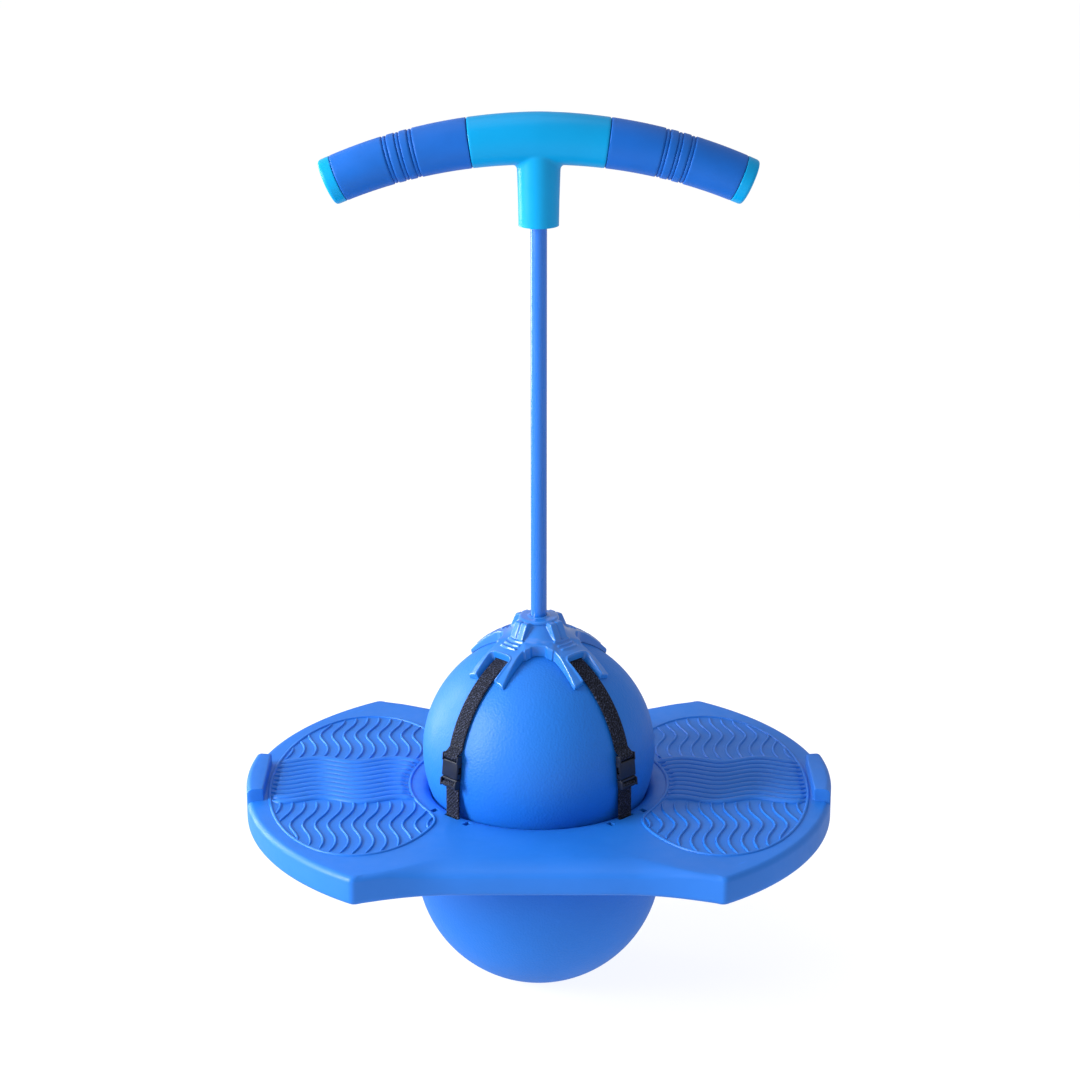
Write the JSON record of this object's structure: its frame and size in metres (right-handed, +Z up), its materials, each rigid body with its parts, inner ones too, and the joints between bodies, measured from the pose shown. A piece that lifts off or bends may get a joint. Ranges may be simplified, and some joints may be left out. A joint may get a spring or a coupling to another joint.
{
  "type": "pogo ball jumper",
  "caption": "Ball-jumper pogo stick: a double-lobed bouncing ball held in a moulded foot deck, with a strapped-on claw, a steel tube and a bent T handle.",
  "frame": {"origin": "on the floor, under the middle of the ball's contact patch", "axes": "+Z up along the tube, +X to the rider's side along the deck's long direction, -Y to the front that is seen in the picture"},
  "size_m": [0.498, 0.3834, 0.7488],
  "materials": {
    "ball_vinyl": "satin",
    "deck_plastic": "satin",
    "claw_plastic": "satin",
    "tube_paint": "gloss",
    "handle_plastic": "satin",
    "grip_rubber": "satin",
    "webbing": "matte",
    "buckle_plastic": "satin",
    "steel": "satin"
  },
  "bodies": {
    "ball": {"ball": "ball_vinyl"},
    "frame": {"deck": "deck_plastic", "claw_hub": "claw_plastic", "hub_bolt": "steel", "hub_washer": "steel", "tube_insert": "steel", "tube": "tube_paint", "t_handle": "handle_plastic", "stem_screw": "steel", "grip_left": "grip_rubber", "grip_right": "grip_rubber", "end_cap_left": "handle_plastic", "end_cap_right": "handle_plastic", "upper_strap_fr": "webbing", "upper_strap_br": "webbing", "upper_strap_bl": "webbing", "upper_strap_fl": "webbing", "buckle_female_fr": "buckle_plastic", "buckle_female_br": "buckle_plastic", "buckle_female_bl": "buckle_plastic", "buckle_female_fl": "buckle_plastic"},
    "valve": {"valve_plug": "ball_vinyl"},
    "strap_fr": {"buckle_male_fr": "buckle_plastic", "lower_strap_fr": "webbing", "strap_anchor_fr": "buckle_plastic"},
    "strap_br": {"buckle_male_br": "buckle_plastic", "lower_strap_br": "webbing", "strap_anchor_br": "buckle_plastic"},
    "strap_bl": {"buckle_male_bl": "buckle_plastic", "lower_strap_bl": "webbing", "strap_anchor_bl": "buckle_plastic"},
    "strap_fl": {"buckle_male_fl": "buckle_plastic", "lower_strap_fl": "webbing", "strap_anchor_fl": "buckle_plastic"}
  },
  "joints": [
    {"name": "ball_bounce", "type": "slide", "parent": "ball", "child": "frame", "axis": [0, 0, 1], "range_m": [-0.04, 0], "stiffness_N_per_m": 15000, "springref_m": 0.0013, "deforming": ["ball"]},
    {"name": "valve_pull", "type": "slide", "parent": "ball", "child": "valve", "axis": [0, 0.9205, -0.3907], "range_m": [0, 0.012]},
    {"name": "buckle_release_fr", "type": "slide", "parent": "frame", "child": "strap_fr", "axis": [0.0727, -0.0727, -0.9947], "range_m": [0, 0.015]},
    {"name": "buckle_release_br", "type": "slide", "parent": "frame", "child": "strap_br", "axis": [0.0727, 0.0727, -0.9947], "range_m": [0, 0.015]},
    {"name": "buckle_release_bl", "type": "slide", "parent": "frame", "child": "strap_bl", "axis": [-0.0727, 0.0727, -0.9947], "range_m": [0, 0.015]},
    {"name": "buckle_release_fl", "type": "slide", "parent": "frame", "child": "strap_fl", "axis": [-0.0727, -0.0727, -0.9947], "range_m": [0, 0.015]}
  ]
}
